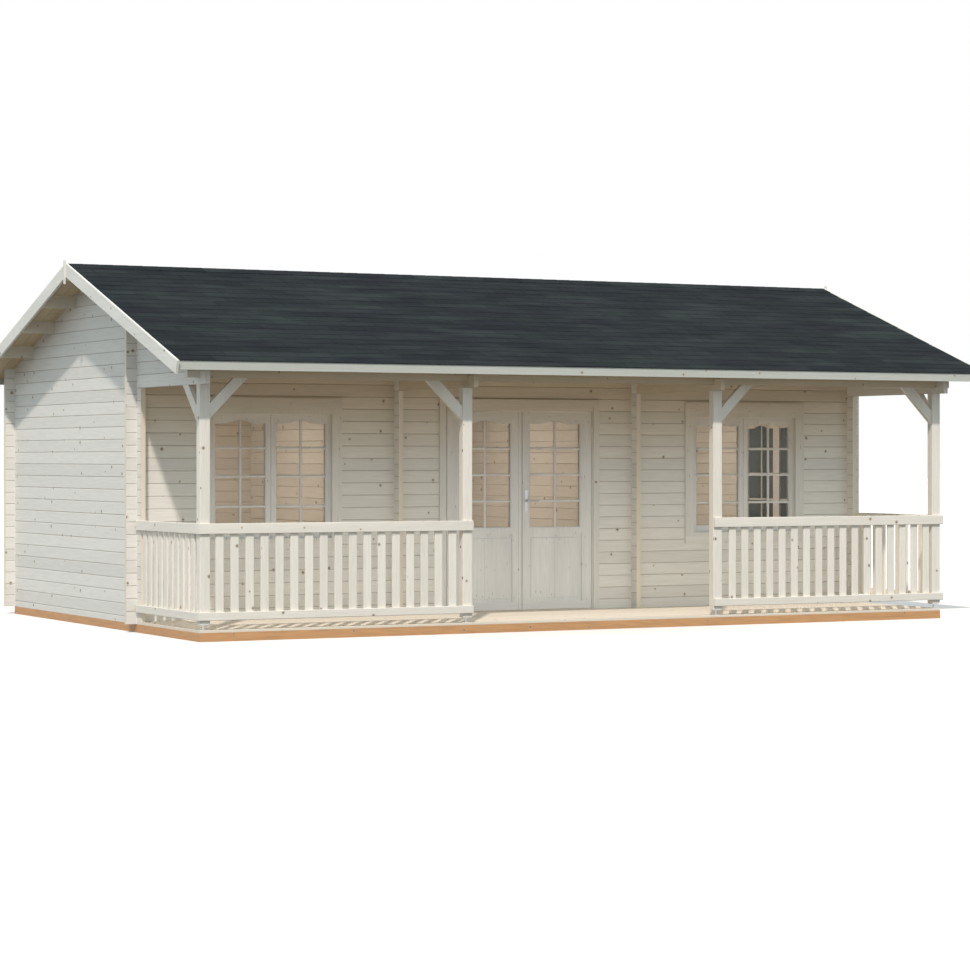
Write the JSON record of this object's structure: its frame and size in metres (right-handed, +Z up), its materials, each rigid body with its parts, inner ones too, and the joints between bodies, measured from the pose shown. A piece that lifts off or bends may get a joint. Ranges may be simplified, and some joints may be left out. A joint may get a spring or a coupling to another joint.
{
  "type": "log cabin",
  "caption": "Single-storey log cabin with interlocking log corners, a covered full-width veranda with railings, a glazed double door and a low gable roof.",
  "frame": {"origin": "on the ground, below the middle of the ridge, which is the middle of the roof's outline", "axes": "+X along the front to the right as seen from outside, +Y from the front to the rear, +Z up"},
  "size_m": [8.424, 5.5898, 3.3695],
  "materials": {
    "log_wood": "untreated planed spruce logs",
    "frame_wood": "untreated planed spruce",
    "trim_wood": "untreated planed spruce",
    "joinery_wood": "untreated planed spruce",
    "floor_wood": "untreated planed boards",
    "bearer_wood": "impregnated sawn timber",
    "roof_wood": "untreated boards",
    "shingle": "granulated bitumen",
    "pane": "clear",
    "foot_steel": "galvanised",
    "handle_steel": "satin"
  },
  "bodies": {
    "cabin": {"front_wall_left": "log_wood", "front_wall_right": "log_wood", "front_wall_over_door": "log_wood", "rear_wall": "log_wood", "left_gable_wall": "log_wood", "right_gable_wall": "log_wood", "left_partition": "log_wood", "right_partition": "log_wood", "left_header": "log_wood", "right_header": "log_wood", "left_inner_header": "log_wood", "right_inner_header": "log_wood", "front_beam": "log_wood", "ridge_purlin": "frame_wood", "front_purlins": "frame_wood", "rear_purlins": "frame_wood", "corner_posts": "frame_wood", "middle_posts": "frame_wood", "knee_braces": "frame_wood", "left_front_railing": "frame_wood", "right_front_railing": "frame_wood", "left_side_railing": "frame_wood", "right_side_railing": "frame_wood", "front_fascia": "trim_wood", "rear_fascia": "trim_wood", "left_barge_boards": "trim_wood", "right_barge_boards": "trim_wood", "apex_plates": "trim_wood", "window_frames": "trim_wood", "door_jamb_left": "trim_wood", "door_jamb_right": "trim_wood", "door_head": "trim_wood", "door_threshold": "trim_wood", "window_casements": "joinery_wood", "cabin_floor": "floor_wood", "veranda_deck": "floor_wood", "cabin_bearers": "bearer_wood", "veranda_bearers": "bearer_wood", "front_roof_boards": "roof_wood", "rear_roof_boards": "roof_wood", "front_shingles": "shingle", "rear_shingles": "shingle", "ridge_cap": "shingle", "window_glass": "pane", "post_feet": "foot_steel"},
    "left_door": {"left_door_leaf": "joinery_wood", "left_door_glass": "pane"},
    "right_door": {"right_door_leaf": "joinery_wood", "right_door_glass": "pane", "door_handle": "handle_steel"}
  },
  "joints": [
    {"name": "left_door_hinge", "type": "hinge", "parent": "cabin", "child": "left_door", "pos_m": [-0.759, -0.965, 1], "axis": [0, 0, -1], "range_deg": [0, 150]},
    {"name": "right_door_hinge", "type": "hinge", "parent": "cabin", "child": "right_door", "pos_m": [0.815, -0.965, 1], "axis": [0, 0, 1], "range_deg": [0, 150]}
  ]
}
